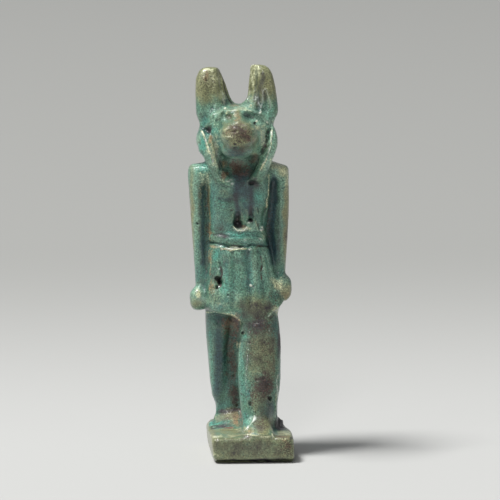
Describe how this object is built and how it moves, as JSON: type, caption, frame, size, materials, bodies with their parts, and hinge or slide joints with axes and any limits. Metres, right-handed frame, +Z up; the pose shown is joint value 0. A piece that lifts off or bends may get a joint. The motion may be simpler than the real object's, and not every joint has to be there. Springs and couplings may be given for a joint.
{
  "type": "anubis amulet",
  "caption": "Small moulded faience amulet of a striding jackal-headed figure in wig and pleated kilt, on a low block with a back pillar bored across for a thread.",
  "frame": {"origin": "middle of the amulet's width and depth, on the plane of the block's underside", "axes": "+Z up the figure from the underside to the ear tips; the figure faces -Y; +X is on the side of its advanced leg"},
  "size_m": [0.0114, 0.0128, 0.0427],
  "materials": {
    "faience": "glossy blue-green glaze, worn to buff paste on edges, muzzle and kilt rims"
  },
  "bodies": {
    "root": {"anubis_amulet": "faience"}
  },
  "joints": []
}
